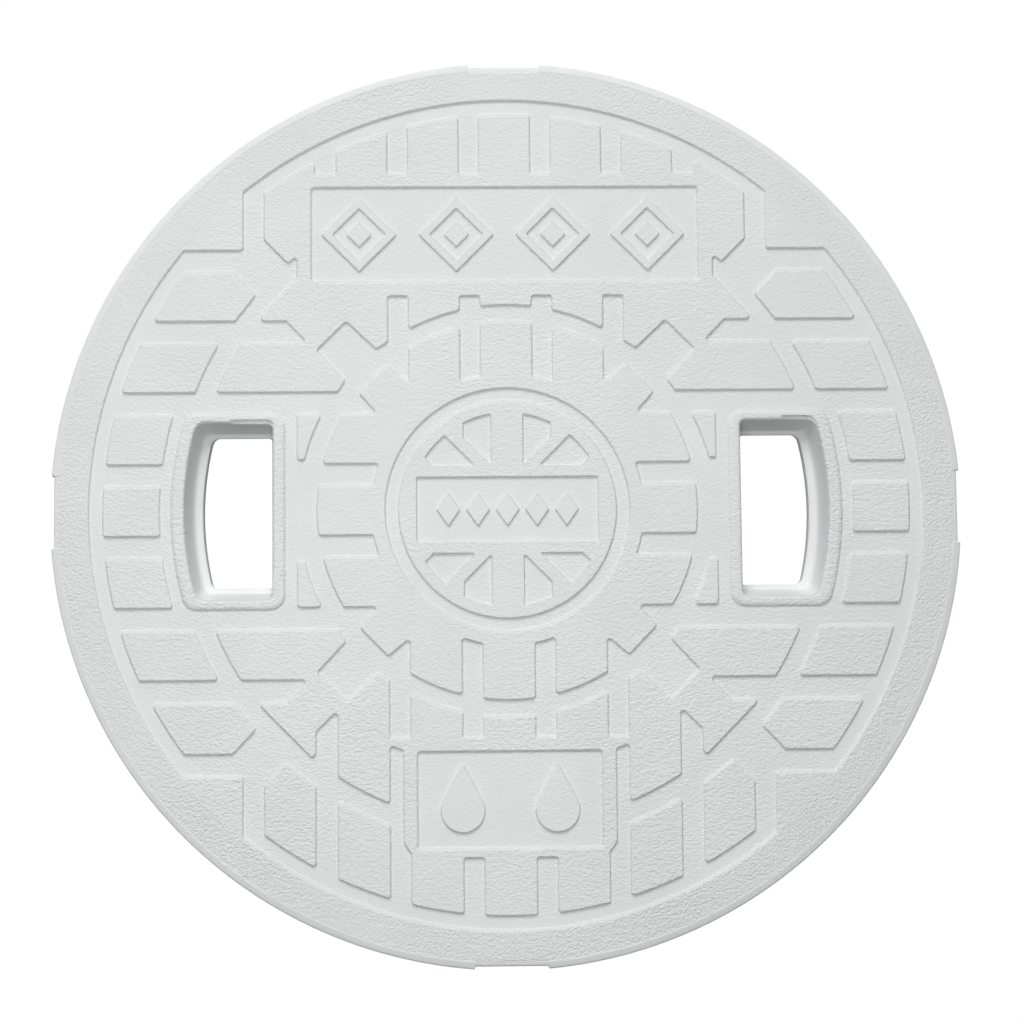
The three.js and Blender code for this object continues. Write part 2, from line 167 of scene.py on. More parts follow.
def rounded(pts, radius, step=13.0):
    """The outline with rounded corners, step degrees per edge. Vertices of sampled arcs, which
    turn by less than 14 degrees, are left alone."""
    pts = [np.array(p) for p in tidy(pts)]
    count = len(pts)
    edges = [pts[i] - pts[i - 1] for i in range(count)]
    turns = [math.atan2(a[0] * b[1] - a[1] * b[0], float(a @ b))
             for a, b in zip(edges, edges[1:] + edges[:1])]
    corner = [abs(turn) > math.radians(14.0) for turn in turns]
    # share of an edge that a corner may use: less if its neighbour is a corner too
    share = [0.47 if is_corner else 0.92 for is_corner in corner]
    out = []
    for i, (point, turn) in enumerate(zip(pts, turns)):
        if not corner[i]:
            out.append(tuple(point))
            continue
        after = (i + 1) % count
        length_in, length_out = np.linalg.norm(edges[i]), np.linalg.norm(edges[after])
        half = abs(turn) / 2
        cut = min(radius * math.tan(half), length_in * share[i - 1], length_out * share[after])
        fitted = cut / math.tan(half)
        start = point - edges[i] / length_in * cut
        side = 1.0 if turn > 0 else -1.0
        normal = np.array([-edges[i][1], edges[i][0]]) / length_in * side
        centre = start + normal * fitted
        first = math.atan2(*(start - centre)[::-1])
        steps = max(2, math.ceil(abs(math.degrees(turn)) / step))
        out += [polar(fitted, first + turn * j / steps, *centre) for j in range(steps + 1)]
    return tidy(out, tolerance=0.004)


def offset(pts, distance):
    """Moves an outline to the right of its direction; distance may be one number per vertex."""
    here = np.asarray(pts, float)
    before = here - np.roll(here, 1, 0)
    after = np.roll(here, -1, 0) - here
    before /= np.linalg.norm(before, axis=1)[:, None]
    after /= np.linalg.norm(after, axis=1)[:, None]
    normal_in = np.stack([before[:, 1], -before[:, 0]], 1)
    normal_out = np.stack([after[:, 1], -after[:, 0]], 1)
    mitre = (normal_in + normal_out) / (1 + np.sum(normal_in * normal_out, 1))[:, None]
    return here + mitre * np.broadcast_to(distance, len(here))[:, None]


# ------------------------------------------------------------------ tread outlines, -X half
UPPER_WEB = (
    top_arc(BLOCK_R, 0, X_IN1) + [(-X_IN1, 149.7), (-X_OUT1, 149.7)]
    + top_arc(BLOCK_R, X_OUT1, X_IN2) + [(-X_IN2, 149.7), (-X_OUT2, 149.7)]
    + top_arc(BLOCK_R, X_OUT2, X_IN3) + [(-X_IN3, 149.7), (-X_OUT3, 149.7)]
    + top_arc(BLOCK_R, X_OUT3, X_IN4)
    + [(-X_IN4, 120.4), (-96, 109.8), (-92, 113.3), (-92, 103.3), (-108.2, 85.4),
       (-107.2, Y_OUT3), (-96.9, Y_OUT3), (-87.2, Y_IN3)]
    + side_arc(RING_R, Y_IN3, Y_OUT2)
    + [(-74.2, Y_OUT2), (-71, 57.4), (-83.6, 70.9), (-70.5, 83.8), (-57.3, 71.4),
       (-X_OUT2, 74.6), (-X_OUT2, 95), (-X_IN2, 95)]
    + top_arc(WEB_R, X_IN2, X_OUT1) + [(-X_OUT1, 95), (-X_IN1, 95)]
    + top_arc(WEB_R, X_IN1, 0))
LOWER_WEB = (
    bottom_arc(WEB_R, 0, X_IN1) + [(-X_IN1, -99.8), (-X_OUT1, -99.8)]
    + bottom_arc(WEB_R, X_OUT1, X_IN2)
    + [(-X_IN2, -99.8), (-X_OUT2, -99.8), (-X_OUT2, -74.6), (-57.3, -71.4), (-70.5, -83.8),
       (-83.6, -70.9), (-71, -57.4), (-74.2, -Y_OUT2)]
    + side_arc(RING_R, -Y_OUT2, -Y_IN3)
    + [(-87.2, -Y_IN3), (-96.9, -Y_OUT3), (-107.2, -Y_OUT3), (-108.2, -85.4), (-85.9, -107.9),
       (-X_OUT3, -106.2), (-X_OUT3, -96.7), (-X_IN3, -87.2)]
    + bottom_arc(RING_R, X_IN3, X_OUT2)
    + [(-X_OUT2, -102.9), (-46.3, -105), (-46.3, -145), (-X_IN2, -149.7)]
    + bottom_arc(BLOCK_R, X_IN2, X_OUT1) + [(-X_OUT1, -151.6), (-X_IN1, -151.6)]
    + bottom_arc(BLOCK_R, X_IN1, 0))
SUN_QUARTER = (
    top_arc(TOOTH_R, 0, X_IN1) + top_arc(ROOT_R, X_IN1, X_OUT1) + top_arc(TOOTH_R, X_OUT1, X_IN2)
    + [(-X_IN2, 56), (-52.6, 64.1), (-64.9, 51.6), (-56.6, Y_IN2)]
    + side_arc(TOOTH_R, Y_IN2, Y_OUT1) + side_arc(ROOT_R, Y_OUT1, Y_IN1)
    + side_arc(TOOTH_R, Y_IN1, 0))
SUN = tidy(SUN_QUARTER + flip_y(SUN_QUARTER) + flip_x(flip_y(SUN_QUARTER)) + flip_x(SUN_QUARTER))


def ring_block(inner_r, low, high):
    """A block between two arcs and two heights in y."""
    return side_arc(inner_r, high, low) + side_arc(BLOCK_R + 0.4, low, high)


CORNER_BLOCK = ([(-120.3, Y_IN4), (-110.3, 95.6), (-119.3, Y_OUT3)]
                + side_arc(BLOCK_R, Y_OUT3, Y_IN4))
WEDGE = [(-92.1, Y_IN2), (-92.1, 22.4)] + side_arc(91.7, 22.4, Y_IN2)
LOW_CORNER = ([(-X_IN4, -120)] + bottom_arc(OUTER_R + 0.5, 97.2, X_OUT3)
              + bottom_arc(BLOCK_R, X_OUT3, X_IN4))
LOW_OUTER = bottom_arc(OUTER_R + 0.5, X_IN3, X_OUT2) + bottom_arc(BLOCK_R, X_OUT2, X_IN3)
# small recesses in the boss
RECESS_UPRIGHT = [(-7.1, 19.7)] + top_arc(RECESS_R, 7.1, 19.2) + [(-19.2, 31.8)]
RECESS_SLANT = [(-14.1, 19.3)] + arc(RECESS_R, (-27.55, 32.75), (-36.2, 22.85)) + [(-32.6, 19.3)]


def rim_inner():
    """Inner edge of the raised rim, stepped inwards on the four diagonals."""
    far, near = leg(RIM_R, X_OUT4), X_OUT4
    return (arc(RIM_R, (far, -near), (far, near)) + [(near, near)]
            + arc(RIM_R, (near, far), (-near, far)) + [(-near, near)]
            + arc(RIM_R, (-far, near), (-far, -near)) + [(-near, -near)]
            + arc(RIM_R, (-near, -far), (near, -far)) + [(near, -near)])


def lozenge(x, y, half_x, half_y):
    return [(x + half_x, y), (x, y + half_y), (x - half_x, y), (x, y - half_y)]


def drop(x, y, radius, tip, steps=26):
    """A circle with two tangents that meet at height tip above its centre."""
    spread = math.acos(radius / tip)
    first, last = math.pi / 2 + spread, math.pi / 2 - spread + 2 * math.pi
    return [(x, y + tip)] + [polar(radius, first + (last - first) * i / steps, x, y)
                             for i in range(steps + 1)]


CORNER_STEPS, END_STEPS, INNER_STEPS = 8, 30, 6   # edges of a slot's corners and ends
SPLIT_X = 121.3                                   # where the slot's long edges are divided


def slot_outline(inner_x, outer_r, half_y, corner_r, inner_corner_r):
    """D outline on the +X side, anticlockwise, always with the same number of vertices."""
    centre_x = leg(outer_r - corner_r, half_y - corner_r)
    tilt = math.atan2(half_y - corner_r, centre_x)
    quarter = math.pi / 2

    def corner(x, y, radius, first, last):
        return [polar(radius, first + (last - first) * i / CORNER_STEPS, x, y)
                for i in range(CORNER_STEPS + 1)]

    inner_cx, inner_cy = inner_x + inner_corner_r, half_y - inner_corner_r
    pts = corner(inner_cx, -inner_cy, inner_corner_r, 2 * quarter, 3 * quarter)
    pts += [(SPLIT_X - 0.12, -half_y), (SPLIT_X + 0.12, -half_y)]
    pts += corner(centre_x, -(half_y - corner_r), corner_r, 3 * quarter, 4 * quarter - tilt)
    pts += [polar(outer_r, -tilt + 2 * tilt * i / END_STEPS) for i in range(1, END_STEPS)]
    pts += corner(centre_x, half_y - corner_r, corner_r, tilt, quarter)
    pts += [(SPLIT_X + 0.12, half_y), (SPLIT_X - 0.12, half_y)]
    pts += corner(inner_cx, inner_cy, inner_corner_r, quarter, 2 * quarter)
    pts += [(inner_x, inner_cy * (1 - 2 * i / INNER_STEPS)) for i in range(1, INNER_STEPS)]
    return pts


def upper_edge_weights(outer_half):
    """How far each slot vertex belongs to one half of the +Y edge, from 0 to 1."""
    size = CORNER_STEPS + 1
    weights = np.zeros(4 * size + 4 + END_STEPS - 1 + INNER_STEPS - 1)
    start = 2 * size + 2 + END_STEPS - 1
    bend = np.linspace(0, math.pi / 2, size)
    if outer_half:
        weights[start:start + size] = np.sin(bend)
        weights[start + size] = 1.0
    else:
        weights[start + size + 1] = 1.0
        weights[start + size + 2:start + 2 * size + 2] = np.cos(bend)
    return weights


# ------------------------------------------------------------------ mesh builder
def round_angles(step):
    return np.radians(np.arange(0, 360, step))


class Shell:
    """A closed surface: rings of shared vertices, the walls between them, and flat fills."""

    def __init__(self):
        self.points, self.faces = [], []
        self.flat = {}                 # vertex number: z of its fixed normal

    def ring(self, pts, z):
        """Adds a ring; z may be one height per vertex."""
        start = len(self.points)
        heights = np.broadcast_to(z, len(pts))
        self.points += [(float(p[0]), float(p[1]), float(h)) for p, h in zip(pts, heights)]
        return list(range(start, len(self.points)))

    def round_ring(self, radius, z, angles):
        radius = np.asarray(radius)
        return self.ring(np.stack([radius * np.cos(angles), radius * np.sin(angles)], 1), z)

    def strip(self, one, two):
        count = len(one)
        for i in range(count):
            after = (i + 1) % count
            self.faces.append((one[i], two[i], two[after], one[after]))

    def stack(self, rings):
        for one, two in zip(rings, rings[1:]):
            self.strip(one, two)
        return rings[0], rings[-1]

    def wall(self, outline, profile, ease=0.0):
        """profile is (distance to the right of the outline, height), with the open side on its
        left. ease widens the blend where the wall faces +Y."""
        here = np.asarray(outline, float)
        along = np.roll(here, -1, 0) - np.roll(here, 1, 0)
        facing = -along[:, 0] / np.linalg.norm(along, axis=1)
        widen = np.clip((facing - 0.25) / 0.6, 0.0, 1.0)
        widen = widen * widen * (3 - 2 * widen) * ease
        return self.stack([self.ring(offset(outline, d * (1 + widen * (1.0 if d > 0 else 0.45))), z)
                           for d, z in profile])

    def turned(self, profile, angles):
        """profile is (radius, height); a radius may be an array, one for each angle."""
        return self.stack([self.round_ring(radius, z, angles) for radius, z in profile])

    def cap_below(self, ring):
        """A fan of downward faces round the middle of a ring."""
        centre = np.mean([self.points[i] for i in ring], 0)
        self.points.append(tuple(float(c) for c in centre))
        hub = len(self.points) - 1
        for i in range(len(ring)):
            self.faces.append((hub, ring[(i + 1) % len(ring)], ring[i]))

    def fill(self, rings, up=True):
        """Flat faces between the rings, by even-odd nesting."""
        index = [i for ring in rings for i in ring]
        edges, base = [], 0
        for ring in rings:
            edges += [(base + i, base + (i + 1) % len(ring)) for i in range(len(ring))]
            base += len(ring)
        corners, _, faces, origins, _, _ = delaunay_2d_cdt(
            [Vector(self.points[i][:2]) for i in index], edges, [], 0, 1e-5, True)
        if len(corners) != len(index):
            raise RuntimeError("the outlines of a fill touch or cross")
        back = [index[origin[0]] for origin in origins]
        triangles = np.array(faces)
        middles = np.array([tuple(p) for p in corners])[triangles].mean(1)
        x, y = middles[:, 0][:, None], middles[:, 1][:, None]
        # count the edges that a ray from each middle towards +X crosses
        crossings = np.zeros(len(triangles), int)
        for ring in rings:
            outline = np.array([self.points[i][:2] for i in ring])
            x_from, y_from = outline.T
            x_to, y_to = np.roll(outline, -1, 0).T
            spans = (y_from > y) != (y_to > y)
            with np.errstate(divide="ignore", invalid="ignore"):
                hit = x_from + (y - y_from) / (y_to - y_from) * (x_to - x_from)
            crossings += np.sum(spans & (hit > x), 1)
        for triangle in triangles[crossings % 2 == 1]:
            face = tuple(back[k] for k in triangle)
            self.faces.append(face if up else face[::-1])
        for i in index:
            self.flat[i] = 1.0 if up else -1.0

    def build(self, name, material, turn, shift):
        """Makes the object, moved by shift and then turned about the Z axis."""
        cos, sin = math.cos(turn), math.sin(turn)
        rotation = np.array([[cos, -sin, 0], [sin, cos, 0], [0, 0, 1.0]])
        points = (np.array(self.points) + np.array([*shift, 0.0])) @ rotation.T * MM
        mesh = bpy.data.meshes.new(name)
        mesh.from_pydata([tuple(p) for p in points], [], self.faces)
        mesh.update()
        for polygon in mesh.polygons:
            polygon.use_smooth = True
        # vertex normals: averaged over the faces, weighted by size, except on flat fills
        triangles = np.array([(face[0], face[i], face[i + 1])
                              for face in self.faces for i in range(1, len(face) - 1)])
        first = points[triangles[:, 0]]
        cross = np.cross(points[triangles[:, 1]] - first, points[triangles[:, 2]] - first)
        cross /= np.sqrt(np.linalg.norm(cross, axis=1))[:, None] + 1e-30
        normals = np.zeros_like(points)
        for corner in triangles.T:
            np.add.at(normals, corner, cross)
        normals /= np.linalg.norm(normals, axis=1)[:, None] + 1e-30
        for i, direction in self.flat.items():
            normals[i] = (0.0, 0.0, direction)
        mesh.normals_split_custom_set_from_vertices([tuple(n) for n in normals])
        mesh.materials.append(material)
        ob = bpy.data.objects.new(name, mesh)
        bpy.context.scene.collection.objects.link(ob)
        return ob


# ------------------------------------------------------------------ node graphs
FALL = (1.0, 0.0)                  # a ramp that goes from one to nothing
BLACK = (0.0, 0.0, 0.0, 1.0)
WHITE = (1.0, 1.0, 1.0, 1.0)


class Graph:
    """The nodes of a material or world. Values are numbers, vectors or other nodes' outputs."""

    def __init__(self, owner):
        self.owner = owner
        owner.use_nodes = True
        self.tree = owner.node_tree
        self.tree.nodes.clear()

    def node(self, kind, inputs=None, **settings):
        """Inputs are keyed by name or number; None leaves one at its default."""
        node = self.tree.nodes.new(kind)
        for key, value in settings.items():
            setattr(node, key, value)
        for key, value in (inputs or {}).items():
            if isinstance(value, bpy.types.NodeSocket):
                self.tree.links.new(value, node.inputs[key])
            elif value is not None:
                node.inputs[key].default_value = value
        return node

    def math(self, op, first, second=0.0, third=0.0):
        inputs = {0: first, 1: second, 2: third}
        return self.node("ShaderNodeMath", inputs, operation=op).outputs[0]

    def add(self, first, second):
        return self.math("ADD", first, second)

    def multiply(self, value, by):
        return self.math("MULTIPLY", value, by)

    def multiply_add(self, value, gain, base):
        return self.math("MULTIPLY_ADD", value, gain, base)

    def inverse(self, mask):
        return self.math("SUBTRACT", 1.0, mask)

    def swing(self, noise, gain, base=None):
        """The noise about zero, times gain, added to base if there is one."""
        centred = self.math("SUBTRACT", noise, 0.5)
        if base is None:
            return self.multiply(centred, gain)
        return self.multiply_add(centred, gain, base)

    def vector(self, op, inputs, output="Vector"):
        return self.node("ShaderNodeVectorMath", inputs, operation=op).outputs[output]

    def length(self, vector):
        return self.vector("LENGTH", {0: vector}, output="Value")

    def place(self):
        """Position on the piece in millimetres."""
        coord = self.node("ShaderNodeTexCoord").outputs["Object"]
        return self.vector("SCALE", {0: coord, "Scale": 1000.0})

    def push(self, place, direction, amount):
        step = self.vector("SCALE", {0: direction, "Scale": amount})
        return self.vector("ADD", {0: place, 1: step})

    def moved(self, place, stretch, shift):
        if stretch:
            place = self.vector("MULTIPLY", {0: place, 1: stretch})
        if shift:
            place = self.vector("ADD", {0: place, 1: shift})
        return place

    def noise(self, place, scale, detail=2.0, rough=0.5, distort=0.0, stretch=None, shift=None):
        place = self.moved(place, stretch, shift)
        inputs = {"Vector": place, "Scale": scale, "Detail": detail, "Roughness": rough,
                  "Distortion": distort}
        return self.node("ShaderNodeTexNoise", inputs, noise_dimensions="3D").outputs["Fac"]

    def cells(self, place, scale, stretch=None, shift=None):
        inputs = {"Vector": self.moved(place, stretch, shift), "Scale": scale, "Randomness": 1.0}
        return self.node("ShaderNodeTexVoronoi", inputs, feature="F1").outputs["Distance"]

    def ramp(self, value, span, to=(0.0, 1.0), kind="SMOOTHSTEP"):
        inputs = {"Value": value, "From Min": span[0], "From Max": span[1], "To Min": to[0],
                  "To Max": to[1]}
        return self.node("ShaderNodeMapRange", inputs, interpolation_type=kind).outputs["Result"]

    def mix(self, amount, one, two):
        inputs = {"Factor": amount, 6: one, 7: two}
        return self.node("ShaderNodeMix", inputs, data_type="RGBA", blend_type="MIX").outputs[2]

    def tint(self, tone, mask, strength, colour):
        return self.mix(self.multiply(mask, strength), tone, colour)

    def mix_shader(self, amount, one, two):
        return self.node("ShaderNodeMixShader", {0: amount, 1: one, 2: two}).outputs[0]

    def finish(self, colour, rough, height, metallic=0.0, spec=0.5):
        """The surface; height is its relief in millimetres."""
        bump = self.node("ShaderNodeBump", {"Strength": 1.0, "Distance": MM, "Height": height})
        shader = self.node("ShaderNodeBsdfPrincipled", {
            "Base Color": colour, "Roughness": rough, "Metallic": metallic,
            "Specular IOR Level": spec, "Normal": bump.outputs["Normal"]})
        self.node("ShaderNodeOutputMaterial", {"Surface": shader.outputs["BSDF"]})
        return self.owner


# ------------------------------------------------------------------ materials
def lid_plastic():
    mat = Graph(bpy.data.materials.new("lid_plastic"))
    place = mat.place()
    x, y, z = mat.node("ShaderNodeSeparateXYZ", {0: place}).outputs
    across = mat.math("ABSOLUTE", x)
    radius = mat.length(mat.node("ShaderNodeCombineXYZ", {0: x, 1: y}).outputs[0])

    # masks for the parts of the relief
    def within(distance, half):
        return mat.ramp(distance, span=(half - 1.5, half - 0.5), to=FALL)

    def panel(half_x, low, high):
        along = mat.math("ABSOLUTE", mat.math("SUBTRACT", y, (low + high) / 2))
        return mat.multiply(within(across, half_x), within(along, (high - low) / 2))

    upper, lower, middle = [panel(*sizes) for sizes in PANELS]
    panels = mat.math("MAXIMUM", upper, mat.math("MAXIMUM", lower, middle))
    raised = mat.ramp(z, span=(55.0, 55.8))
    tread = mat.multiply(raised, mat.inverse(panels))
    rim = mat.multiply(mat.ramp(radius, span=(181.5, 184.5)), raised)
    gutter = mat.multiply(mat.ramp(radius, span=(176.0, 177.0)),
                          mat.ramp(radius, span=(182.0, 183.5), to=FALL))
    gutter = mat.multiply(gutter, mat.inverse(raised))
    smooth = mat.math("MAXIMUM", mat.ramp(radius, span=(196.2, 197.2)),
                      mat.multiply(gutter, by=0.6))
    smooth = mat.math("MAXIMUM", smooth, mat.ramp(z, span=(54.5, 53.9)))
    grain = mat.multiply_add(smooth, gain=-0.85, base=1.0)

    # leather-like grain: flattish cells and low folds inside, rounder pebbles on the rim
    warp = mat.noise(place, scale=0.11)
    bent = mat.push(place, direction=(0.0, 1.0, 0.0), amount=mat.multiply(warp, by=3.6))
    ripple = mat.noise(place, scale=0.5, detail=1.0, shift=(11.0, 3.0, 17.0))
    bent = mat.push(bent, direction=(0.4, 1.0, 0.0), amount=mat.multiply(ripple, by=1.2))
    scales = mat.cells(bent, scale=1.0, stretch=(0.54, 0.88, 0.3))
    folds = mat.noise(bent, scale=1.0, detail=1.4, distort=0.1, stretch=(0.82, 1.6, 0.4))
    pebble = mat.noise(place, scale=0.95, detail=1.6, distort=0.2, shift=(31.0, 7.0, 3.0))
    rippled = mat.push(place, direction=(1.0, 0.6, 0.0), amount=mat.multiply(ripple, by=2.6))
    beads = mat.cells(rippled, scale=0.84)
    fine = mat.noise(place, scale=1.7, detail=1.2, shift=(5.0, 19.0, 11.0))
    patches = mat.noise(place, scale=0.012, detail=1.0, shift=(3.1, 8.7, 0.0))

    # strength of the grain: more towards -Y and round the slots, less on the panels
    towards_low_y = mat.ramp(y, span=(90.0, -150.0), kind="LINEAR")
    band = mat.multiply(mat.ramp(across, span=(95.0, 97.5)),
                        mat.ramp(mat.math("ABSOLUTE", y), span=(45.5, 43.0)))
    band = mat.multiply(band, mat.ramp(radius, span=(149.0, 147.0)))
    tread_gain = mat.multiply_add(towards_low_y, gain=0.25, base=0.02)
    depth = mat.multiply_add(tread, gain=tread_gain, base=0.88)
    depth = mat.multiply_add(band, gain=0.35, base=depth)
    depth = mat.multiply(depth, mat.ramp(patches, span=(0.3, 0.7), to=(0.7, 1.2)))
    depth = mat.multiply(depth, mat.multiply_add(panels, gain=-0.4, base=1.0))
    depth = mat.multiply(depth, mat.multiply_add(rim, gain=0.25, base=1.0))
    leather = mat.multiply_add(scales, gain=-0.19, base=mat.swing(folds, gain=0.18))
    pebbles = mat.multiply_add(beads, gain=-0.165, base=mat.swing(pebble, gain=0.26))
    height = mat.add(mat.multiply(leather, mat.inverse(rim)), mat.multiply(pebbles, rim))
    height = mat.swing(fine, gain=0.09, base=height)
    height = mat.multiply(height, mat.multiply(depth, grain))

    # slightly cool near-white resin with faint clouds; the rim and the tread a touch darker
    cloud = mat.noise(place, scale=0.02, detail=3.0, rough=0.55, distort=0.6,
                      shift=(9.0, 2.0, 5.0))
    tone = mat.mix(mat.ramp(cloud, span=(0.32, 0.68)), one=(0.786, 0.795, 0.798, 1.0),
                   two=(0.812, 0.820, 0.821, 1.0))
    shade = mat.multiply_add(rim, gain=0.010, base=mat.multiply(tread, by=0.004))
    # painted shade in the hollows of the grain
    hollow_shade = mat.multiply(mat.ramp(height, span=(-0.01, -0.09)), by=0.012)
    tone = mat.mix(mat.add(shade, hollow_shade), tone, BLACK)
    # painted shade on the relief edges where they face +Y, and painted light on them where they
    # face -Y
    coord = mat.node("ShaderNodeTexCoord")
    facing = mat.node("ShaderNodeSeparateXYZ", {0: coord.outputs["Normal"]}).outputs[1]
    edge = mat.multiply(mat.ramp(z, span=(54.6, 54.8)), mat.ramp(radius, span=(185.5, 184.5)))
    tone = mat.tint(tone, edge, mat.ramp(facing, span=(0.10, 0.75), to=(0.0, 0.16)), BLACK)
    tone = mat.tint(tone, edge, mat.ramp(facing, span=(-0.05, -0.70), to=(0.0, 0.80)),
                    colour=(0.92, 0.93, 0.93, 1.0))
    speck = mat.ramp(mat.cells(place, scale=0.055, shift=(4.0, 4.0, 4.0)),
                     span=(0.010, 0.022), to=FALL)
    tone = mat.tint(tone, speck, strength=0.22, colour=(0.36, 0.36, 0.35, 1.0))
    # handling marks dull the edge of the rim
    marks = mat.noise(place, scale=0.16, detail=3.0, rough=0.6)
    wear = mat.multiply(mat.ramp(radius, span=(196.0, 200.2)), mat.ramp(marks, span=(0.45, 0.62)))
    tone = mat.tint(tone, wear, strength=0.10, colour=(0.60, 0.605, 0.60, 1.0))
    sheen = mat.noise(place, scale=0.09, detail=3.0, rough=0.6, shift=(1.0, 6.0, 2.0))
    rough = mat.add(mat.ramp(sheen, span=(0.3, 0.7), to=(0.46, 0.58)),
                    mat.swing(fine, gain=0.12))
    return mat.finish(tone, rough, height, spec=0.4)


def frame_plastic():
    mat = Graph(bpy.data.materials.new("frame_plastic"))
    place = mat.place()
    spark = mat.noise(place, scale=1.1, rough=0.55)
    flow = mat.noise(place, scale=0.03, detail=3.0, rough=0.6, distort=0.8,
                     stretch=(1.0, 1.0, 2.4))
    height = mat.swing(flow, gain=0.09, base=mat.swing(spark, gain=0.030))
    tone = mat.mix(mat.ramp(flow, span=(0.35, 0.65)), one=(0.455, 0.478, 0.490, 1.0),
                   two=(0.505, 0.525, 0.535, 1.0))
    dust = mat.noise(place, scale=0.35, detail=3.0, rough=0.65, shift=(2.0, 2.0, 9.0))
    dust = mat.ramp(dust, span=(0.52, 0.70))
    tone = mat.tint(tone, dust, strength=0.14, colour=(0.60, 0.60, 0.585, 1.0))
    rough = mat.add(mat.ramp(spark, span=(0.3, 0.7), to=(0.44, 0.54)),
                    mat.multiply(dust, by=0.10))
    return mat.finish(tone, rough, height, spec=0.4)


def rubber():
    mat = Graph(bpy.data.materials.new("rubber"))
    place = mat.place()
    grit = mat.noise(place, scale=1.8, detail=3.0, rough=0.6)
    skin = mat.noise(place, scale=0.35, shift=(4.0, 1.0, 1.0))
    tone = mat.mix(mat.ramp(skin, span=(0.35, 0.65)), one=(0.020, 0.021, 0.022, 1.0),
                   two=(0.038, 0.038, 0.039, 1.0))
    bloom = mat.noise(place, scale=0.7, detail=4.0, rough=0.65, shift=(8.0, 3.0, 6.0))
    tone = mat.tint(tone, mat.ramp(bloom, span=(0.55, 0.75)), strength=0.35,
                    colour=(0.085, 0.085, 0.082, 1.0))
    height = mat.swing(grit, gain=0.05)
    rough = mat.ramp(grit, span=(0.3, 0.7), to=(0.72, 0.90))
    return mat.finish(tone, rough, height, spec=0.25)


def stainless():
    mat = Graph(bpy.data.materials.new("stainless"))
    place = mat.place()
    lines = mat.noise(place, scale=1.0, detail=3.0, rough=0.6, stretch=(0.5, 6.0, 6.0))
    smear = mat.noise(place, scale=0.5, detail=3.0, rough=0.6, shift=(2.0, 7.0, 1.0))
    tone = mat.mix(mat.ramp(smear, span=(0.35, 0.65)), one=(0.50, 0.50, 0.49, 1.0),
                   two=(0.62, 0.62, 0.61, 1.0))
    height = mat.swing(lines, gain=0.012)
    rough = mat.add(mat.ramp(lines, span=(0.3, 0.7), to=(0.24, 0.36)),
                    mat.ramp(smear, span=(0.4, 0.7), to=(0.0, 0.10)))
    return mat.finish(tone, rough, height, metallic=1.0)


MATERIALS = {make.__name__: make() for make in (lid_plastic, frame_plastic, rubber, stainless)}


def add_piece(shell, name, material, replaces, rides="frame", turn=0.0, shift=(0.0, 0.0)):
    ob = shell.build(name, MATERIALS[material], turn, shift)
    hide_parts(replaces)
    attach(ob, rides)


# ------------------------------------------------------------------ lid
# Section of a relief edge, (distance, z): rounded crest, draughted wall, rounded root.
EDGE = [(-0.60, 56.0), (-0.42, 55.965), (-0.26, 55.86), (-0.13, 55.68), (0.12, 55.12),
        (0.24, 54.95), (0.37, 54.845), (0.55, 54.8)]
COLLAR_EDGE = [(-2.0, 56.0), (-1.5, 55.965), (-1.0, 55.87), (-0.55, 55.70), (-0.2, 55.46),
               (0.03, 55.18), (0.17, 54.98), (0.34, 54.85), (0.58, 54.8)]

# Slot from its rounded mouth down to the ledge, lip and open throat:
# z, inner x, outer radius, half length, outer and inner corner radii.
SLOT = [
    (56.00, 101.30, 142.95, 40.35, 6.0, 3.9), (55.95, 101.80, 142.50, 39.95, 5.8, 3.6),
    (55.78, 102.28, 142.10, 39.52, 5.5, 3.2), (55.45, 102.63, 141.76, 39.15, 5.3, 2.9),
    (54.95, 102.84, 141.52, 38.88, 5.1, 2.6), (54.40, 102.92, 141.36, 38.70, 5.0, 2.5),
    (50.50, 103.15, 140.05, 37.50, 4.6, 2.1), (46.60, 103.35, 138.70, 36.05, 4.4, 1.7),
    (45.50, 103.40, 138.20, 35.60, 4.3, 1.6), (44.85, 103.45, 137.60, 35.30, 4.2, 1.5),
    (44.55, 103.50, 136.90, 35.00, 4.1, 1.4), (44.50, 103.55, 136.20, 34.80, 4.0, 1.35),
    (44.50, 103.60, 134.70, 33.80, 4.0, 1.3), (44.35, 103.65, 134.30, 33.48, 4.0, 1.3),
    (44.00, 103.70, 134.10, 33.30, 4.0, 1.3), (40.40, 103.60, 133.65, 33.95, 4.0, 1.4),
    (40.08, 103.45, 133.80, 34.10, 4.1, 1.5), (40.00, 103.20, 134.05, 34.35, 4.3, 1.7)]
# Small steps in the +Y edge, (shift in y, shift in z) of the upper outlines.
RIGHT_STEP = [(0.50, 0.0), (0.80, -0.05), (1.08, -0.55), (1.25, -0.40), (0.30, 0.04), (0.15, 0.0)]
LEFT_STEP = [(0.10, 0.0), (0.40, -0.05), (0.78, -0.62), (0.95, -0.45), (-0.28, 0.02),
             (-0.40, -0.05)]

# Section of a pocket under the lid, (distance, height above its mouth).
POCKET = [(0.40, 0.0), (0.14, 0.07), (0.0, 0.35), (-0.22, 8.4), (-0.42, 9.25), (-0.85, 9.8),
          (-1.35, 10.0)]


